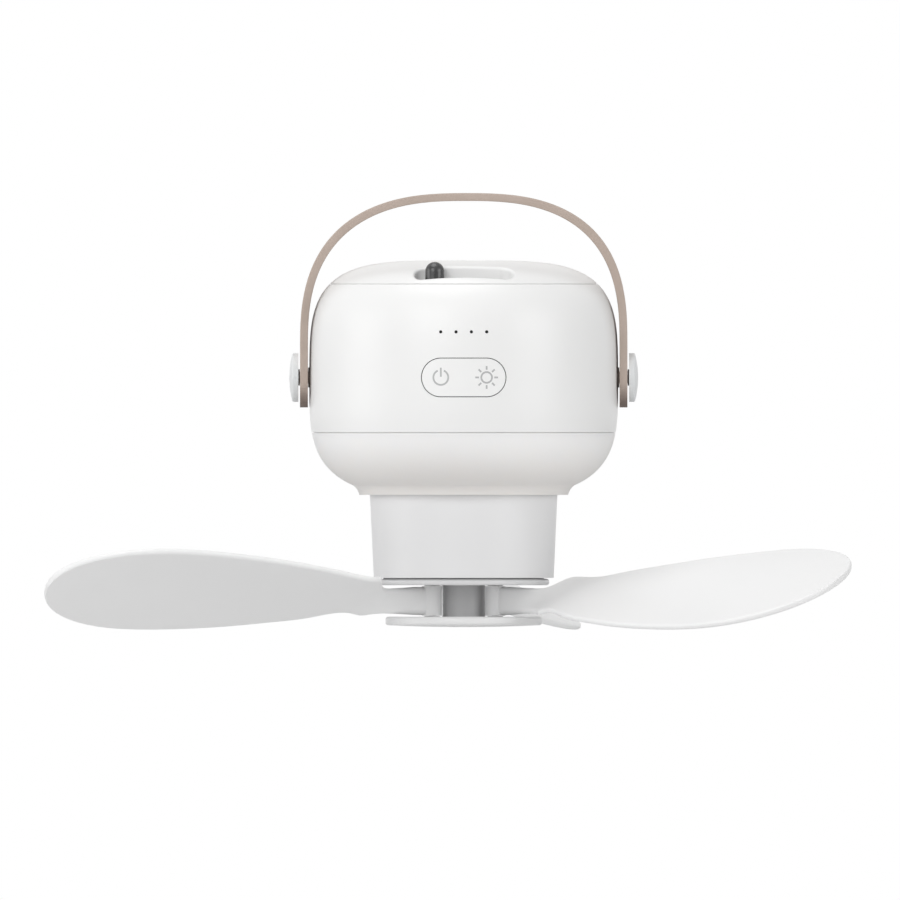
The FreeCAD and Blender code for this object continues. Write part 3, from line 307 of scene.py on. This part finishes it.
def lever_material():
    """Dark glossy plastic with fine handling marks."""
    material, shader = new_material("lever_black")
    marks = noise(material, scale=700.0, detail=6.0, stretch=(1.0, 1.0, 0.3))
    colour_out = ramp(material, marks, low=(0.012, 0.012, 0.013), high=(0.03, 0.03, 0.032))
    link(material, colour_out, shader.inputs["Base Color"])
    link(material, spread(material, marks, low=0.22, high=0.4), shader.inputs["Roughness"])
    bump(material, shader, marks, depth=0.00001)
    set_input(shader, "Coat Weight", 0.3)
    set_input(shader, "Coat Roughness", 0.2)
    return material


def paint(material, *nodes):
    """Give one material to CAD nodes."""
    for name in nodes:
        piece = frame["nodes"][name]
        piece.data.materials.clear()
        piece.data.materials.append(material)


def paint_outside():
    """The shells, the button, the knobs and the other pieces that show on the body."""
    paint(plastic("shell_white", (0.905, 0.905, 0.90), roughness=0.34), "top_cover", "main_housing")
    paint(plastic("button_white", (0.915, 0.915, 0.91), roughness=0.42, mottle=0.02), "button_pad")
    paint(bowl_material(), "light_bowl")
    paint(plastic("neck_white", (0.82, 0.82, 0.825), roughness=0.42), "neck_sleeve", "neck_end_plate")
    # Painted light: the washers are a paler taupe than the strap, lifted to make up for the shade in the
    # narrow gaps they sit in
    paint(plastic("washer_taupe_painted_light", (0.58, 0.49, 0.45), roughness=0.6, mottle=0.2, grain=2400.0),
          "body_washers", "knob_washers")
    paint(plastic("knob_white", (0.77, 0.785, 0.79), roughness=0.36), "handle_knobs")
    paint(lever_material(), "speed_lever")
    paint(plastic("lens_black", (0.006, 0.006, 0.007), roughness=0.18, mottle=0.2, grain=900.0,
                  grain_depth=0.000002), "indicator_lenses")


def paint_fan():
    """The hub and the blades."""
    paint(plastic("disc_white", (0.87, 0.87, 0.87), roughness=0.38), "lower_hub_disc")
    # Painted shade: the upper disc is a darker copy of the disc white, for the shade under the neck
    paint(plastic("disc_painted_shade", (0.74, 0.74, 0.745), roughness=0.42), "upper_hub_disc")
    paint(plastic("core_grey", (0.62, 0.62, 0.625), roughness=0.45, mottle=0.06), "hub_core")
    paint(plastic("blade_white", (0.90, 0.90, 0.90), roughness=0.36, mottle=0.02, grain=1300.0),
          "blade_rear", "blade_left", "blade_right")
    paint(plastic("washer_light", (0.92, 0.92, 0.915), roughness=0.3), "pivot_washers")


def paint_inside():
    """The metal pieces, the motor, the boards and the battery."""
    paint(metal("steel", (0.62, 0.62, 0.63), roughness=0.3), "housing_screws", "neck_screws",
          "end_plate_screws", "pivot_screws", "pivot_sleeves", "motor_shaft", "motor_bearings",
          "hub_screws", "blade_pins", "button_hinge_pin")
    paint(metal("can_steel", (0.55, 0.55, 0.56), roughness=0.4), "rotor_can")
    paint(plastic("magnet_dark", (0.03, 0.03, 0.033), roughness=0.5, mottle=0.2), "rotor_magnets")
    paint(metal("core_iron", (0.25, 0.26, 0.28), roughness=0.45, stretch=(1.0, 1.0, 40.0)), "stator_core")
    paint(metal("copper_wire", (0.75, 0.36, 0.18), roughness=0.35, stretch=(1.0, 1.0, 30.0)),
          "stator_windings")
    paint(plastic("board_dark", (0.012, 0.022, 0.02), roughness=0.4, mottle=0.2), "control_board",
          "power_board", "lamp_board")
    paint(plastic("chip_pale", (0.85, 0.72, 0.35), roughness=0.25, mottle=0.1), "lamp_leds",
          "indicator_leds")
    paint(plastic("frame_grey", (0.12, 0.12, 0.125), roughness=0.5, mottle=0.1), "chassis_plate",
          "battery_tray", "button_bracket")
    paint(plastic("cell_blue", (0.03, 0.10, 0.30), roughness=0.25, mottle=0.1), "battery_cells")
    paint(plastic("switch_black", (0.02, 0.02, 0.02), roughness=0.45, mottle=0.2), "tact_switches",
          "lever_slide_unit")
    paint(metal("socket_metal", (0.70, 0.70, 0.71), roughness=0.22), "usb_socket")


def everything(shape):
    """All corners, edges and faces of a mesh that is being edited."""
    return shape.verts[:] + shape.edges[:] + shape.faces[:]


def strap():
    """The strap with both legs bent in alike: its left half and the mirror image of that half."""
    shape = bmesh.new()
    shape.from_mesh(frame["nodes"]["handle_strap"].data)
    bmesh.ops.remove_doubles(shape, verts=shape.verts, dist=WELD)
    bmesh.ops.bisect_plane(shape, geom=everything(shape), dist=WELD, plane_co=(0.0, 0.0, 0.0),
                           plane_no=(1.0, 0.0, 0.0), clear_outer=True)
    bmesh.ops.mirror(shape, geom=everything(shape), axis="X", merge_dist=WELD)
    bmesh.ops.remove_doubles(shape, verts=shape.verts, dist=WELD)
    bmesh.ops.recalc_face_normals(shape, faces=shape.faces)
    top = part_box("handle_strap")[1][2]
    spring = STRAP_SPRING * MM
    for vertex in shape.verts:
        share = max(0.0, (vertex.co.z - spring) / (top - spring))
        vertex.co.x += STRAP_LEAN * MM * share ** 2
    mesh = bpy.data.meshes.new("strap")
    shape.to_mesh(mesh)
    shape.free()
    mesh.shade_smooth()
    mesh.set_sharp_from_angle(angle=math.radians(SHARP_ANGLE))
    mesh.materials.append(strap_material())
    piece = add("strap", mesh)
    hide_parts("handle_strap")
    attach(piece, "handle")


class Surface:
    """Finds the front surface of a CAD node at a place seen from the front."""

    def __init__(self, node):
        mesh = frame["nodes"][node].data
        points = [vertex.co for vertex in mesh.vertices]
        faces = [tuple(polygon.vertices) for polygon in mesh.polygons]
        self.tree = BVHTree.FromPolygons(points, faces)

    def y(self, x, z):
        place, _, _, _ = self.tree.ray_cast(Vector((x, IN_FRONT, z)), Vector((0.0, 1.0, 0.0)))
        return place.y


def stroke(points, width):
    """Left and right edges of a line of even width through points in the XZ plane."""
    edges = []
    for index, point in enumerate(points):
        before = points[max(index - 1, 0)]
        after = points[min(index + 1, len(points) - 1)]
        along = (after - before).normalized()
        across = Vector((-along.y, along.x)) * width / 2
        edges.append((point + across, point - across))
    return edges


def mark(name, strokes, surface):
    """Thin printed marks that follow a surface: each stroke becomes a closed strip."""
    vertices = []
    faces = []
    for points in strokes:
        start = len(vertices)
        edges = stroke(points, MARK_LINE * MM)
        for left, right in edges:
            for corner in (left, right):
                y = surface.y(corner.x, corner.y)
                vertices.append((corner.x, y - MARK_LIFT * MM, corner.y))
                vertices.append((corner.x, y + (MARK_DEPTH - MARK_LIFT) * MM, corner.y))
        for index in range(len(edges) - 1):
            a = start + 4 * index
            b = a + 4
            faces += [(a, a + 2, b + 2, b), (a + 1, b + 1, b + 3, a + 3),
                      (a, b, b + 1, a + 1), (a + 2, a + 3, b + 3, b + 2)]
        last = start + 4 * (len(edges) - 1)
        faces += [(start, start + 1, start + 3, start + 2), (last, last + 2, last + 3, last + 1)]
    mesh = bpy.data.meshes.new(name)
    mesh.from_pydata(vertices, [], faces)
    mesh.validate()
    return add(name, mesh)


def ring_points(centre, radius, start_angle, end_angle, steps=40):
    """Points round part of a circle, with angles in degrees from straight up."""
    points = []
    for index in range(steps + 1):
        angle = math.radians(start_angle + (end_angle - start_angle) * index / steps)
        points.append(centre + Vector((math.sin(angle), math.cos(angle))) * radius * MM)
    return points


def ray_points(centre, inner, outer, angle, steps=4):
    """Points along a short line that points away from a centre."""
    turn = math.radians(angle)
    away = Vector((math.sin(turn), math.cos(turn)))
    return [centre + away * (inner + (outer - inner) * index / steps) * MM for index in range(steps + 1)]


def button_marks():
    """The power mark and the sun mark on the two ends of the button."""
    surface = Surface("button_pad")
    low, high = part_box("button_pad")
    middle_x = (low[0] + high[0]) / 2
    middle_z = (low[2] + high[2]) / 2
    grey = plastic("mark_grey", (0.50, 0.50, 0.505), roughness=0.5, mottle=0.08)
    left = Vector((middle_x - MARK_SPACING * MM / 2, middle_z))
    power = [ring_points(left, POWER_RADIUS, POWER_GAP, 360.0 - POWER_GAP),
             ray_points(left, POWER_BAR[0], POWER_BAR[1], 0.0)]
    right = Vector((middle_x + MARK_SPACING * MM / 2, middle_z))
    sun = [ring_points(right, SUN_RADIUS, 0.0, 360.0)]
    for index in range(SUN_RAYS):
        sun.append(ray_points(right, SUN_RAY[0], SUN_RAY[1], 360.0 / SUN_RAYS * index))
    for name, strokes in (("power_mark", power), ("sun_mark", sun)):
        piece = mark(name, strokes, surface)
        piece.data.materials.append(grey)
        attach(piece, "button")


def floor_material():
    """Pale floor that doesn't hide the fan when it is looked at from underneath."""
    material = plastic("floor_pale", (0.88, 0.88, 0.88), roughness=0.8, mottle=0.02, grain=40.0)
    nodes = material.node_tree.nodes
    side = nodes.new("ShaderNodeNewGeometry")
    clear = nodes.new("ShaderNodeBsdfTransparent")
    mix = nodes.new("ShaderNodeMixShader")
    link(material, side.outputs["Backfacing"], mix.inputs["Fac"])
    link(material, nodes["Principled BSDF"].outputs["BSDF"], mix.inputs[1])
    link(material, clear.outputs["BSDF"], mix.inputs[2])
    link(material, mix.outputs["Shader"], nodes["Material Output"].inputs["Surface"])
    return material


def floor():
    """A round pale floor well below the hanging fan."""
    z = cad_box[0][2] - FLOOR_DROP
    angles = [2 * math.pi * index / FLOOR_SIDES for index in range(FLOOR_SIDES)]
    rim = [(FLOOR_RADIUS * math.cos(angle), FLOOR_RADIUS * math.sin(angle), z) for angle in angles]
    mesh = bpy.data.meshes.new("floor")
    mesh.from_pydata(rim, [], [tuple(range(FLOOR_SIDES))])
    mesh.materials.append(floor_material())
    piece = add("floor", mesh)


def area_light(name, place, size, power):
    """A square soft light aimed at the middle of the fan."""
    light = bpy.data.lights.new(name, "AREA")
    light.shape = "SQUARE"
    light.size = size
    light.energy = power
    lamp = add(name, light)
    lamp.location = place
    towards = Vector((0.0, 0.0, PHOTO_MIDDLE.z)) - Vector(place)
    lamp.rotation_euler = towards.to_track_quat("-Z", "Y").to_euler()


def lights():
    for name, place, size, power in LAMPS:
        area_light(name, place, size, power)


def world():
    """Even soft light, with a white backdrop for the camera and for reflections."""
    studio = bpy.data.worlds.new("studio")
    bpy.context.scene.world = studio
    studio.use_nodes = True
    nodes = studio.node_tree.nodes
    nodes.clear()
    output = nodes.new("ShaderNodeOutputWorld")
    soft = nodes.new("ShaderNodeBackground")
    set_input(soft, "Color", (1.0, 1.0, 1.0, 1.0))
    set_input(soft, "Strength", EVEN_LIGHT)
    white = nodes.new("ShaderNodeBackground")
    set_input(white, "Color", (1.0, 1.0, 1.0, 1.0))
    set_input(white, "Strength", BACKDROP_LIGHT)
    path = nodes.new("ShaderNodeLightPath")
    either = nodes.new("ShaderNodeMath")
    either.operation = "MAXIMUM"
    any_of_three = nodes.new("ShaderNodeMath")
    any_of_three.operation = "MAXIMUM"
    mix = nodes.new("ShaderNodeMixShader")
    link(studio, path.outputs["Is Camera Ray"], either.inputs[0])
    link(studio, path.outputs["Is Glossy Ray"], either.inputs[1])
    link(studio, either.outputs["Value"], any_of_three.inputs[0])
    link(studio, path.outputs["Is Transmission Ray"], any_of_three.inputs[1])
    link(studio, any_of_three.outputs["Value"], mix.inputs["Fac"])
    link(studio, soft.outputs["Background"], mix.inputs[1])
    link(studio, white.outputs["Background"], mix.inputs[2])
    link(studio, mix.outputs["Shader"], output.inputs["Surface"])


def camera():
    """The photograph's own view: level, straight from the front, without perspective."""
    data = bpy.data.cameras.new("camera")
    data.type = "ORTHO"
    data.ortho_scale = PHOTO_WIDTH
    eye = add("camera", data)
    eye.location = PHOTO_MIDDLE + Vector((0.0, -CAMERA_DISTANCE, 0.0))
    eye.rotation_euler = (math.radians(90.0), 0.0, 0.0)
    bpy.context.scene.camera = eye


paint_outside()
paint_fan()
paint_inside()
strap()
button_marks()
floor()
lights()
world()
camera()
bpy.context.scene.view_settings.view_transform = "Standard"
